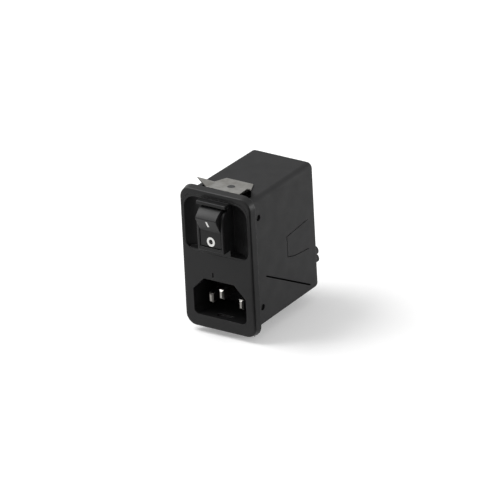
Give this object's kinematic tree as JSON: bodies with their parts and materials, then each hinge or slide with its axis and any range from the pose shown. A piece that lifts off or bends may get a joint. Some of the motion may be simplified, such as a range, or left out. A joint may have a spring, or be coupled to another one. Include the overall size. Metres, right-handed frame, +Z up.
{
  "type": "c14 panel inlet socket",
  "caption": "Deep black appliance inlet for a panel, with a rocker switch in a raised hood, finger scoops of a fuse drawer, spring steel panel clips and a closed rear housing.",
  "frame": {"origin": "centre of the flange's rear face, where it meets the panel", "axes": "+Y back through the panel into the equipment, +Z up, +X right as seen from the front"},
  "size_m": [0.0336, 0.0609, 0.0632],
  "materials": {
    "bezel_plastic": "fine moulded texture, black",
    "shell_plastic": "fine moulded texture, charcoal black",
    "rocker_plastic": "satin black, white signs",
    "switch_plastic": "black moulded plastic",
    "spring_steel": "plain rolled spring steel",
    "plated_metal": "nickel plated brass",
    "contact_metal": "bare contact brass",
    "fuse_glass": "clear glass"
  },
  "bodies": {
    "root": {"front_bezel": "bezel_plastic", "housing_shell": "shell_plastic", "upper_panel_clip": "spring_steel", "lower_panel_clip": "spring_steel", "earth_blade": "plated_metal", "line_blade": "plated_metal", "neutral_blade": "plated_metal", "blade_retainer": "switch_plastic", "switch_body": "switch_plastic", "rocker_axle": "spring_steel", "contact_carrier": "switch_plastic", "line_switch_in": "contact_metal", "line_switch_out": "contact_metal", "neutral_switch_in": "contact_metal", "neutral_switch_out": "contact_metal", "line_fuse_clip_upper": "contact_metal", "line_fuse_clip_lower": "contact_metal", "neutral_fuse_clip_upper": "contact_metal", "neutral_fuse_clip_lower": "contact_metal", "earth_tab": "contact_metal", "line_tab": "contact_metal", "neutral_tab": "contact_metal"},
    "drawer": {"fuse_drawer": "bezel_plastic", "line_fuse_glass": "fuse_glass", "line_fuse_caps": "plated_metal", "line_fuse_wire": "contact_metal", "neutral_fuse_glass": "fuse_glass", "neutral_fuse_caps": "plated_metal", "neutral_fuse_wire": "contact_metal"},
    "rocker": {"rocker": "rocker_plastic"}
  },
  "joints": [
    {"name": "rocker_tilt", "type": "hinge", "parent": "root", "child": "rocker", "pos_m": [0, -0.003, 0.0158], "axis": [1, 0, 0], "range_deg": [-27, 0]},
    {"name": "fuse_drawer_slide", "type": "slide", "parent": "root", "child": "drawer", "axis": [0, -1, 0], "range_m": [0, 0.018]}
  ]
}
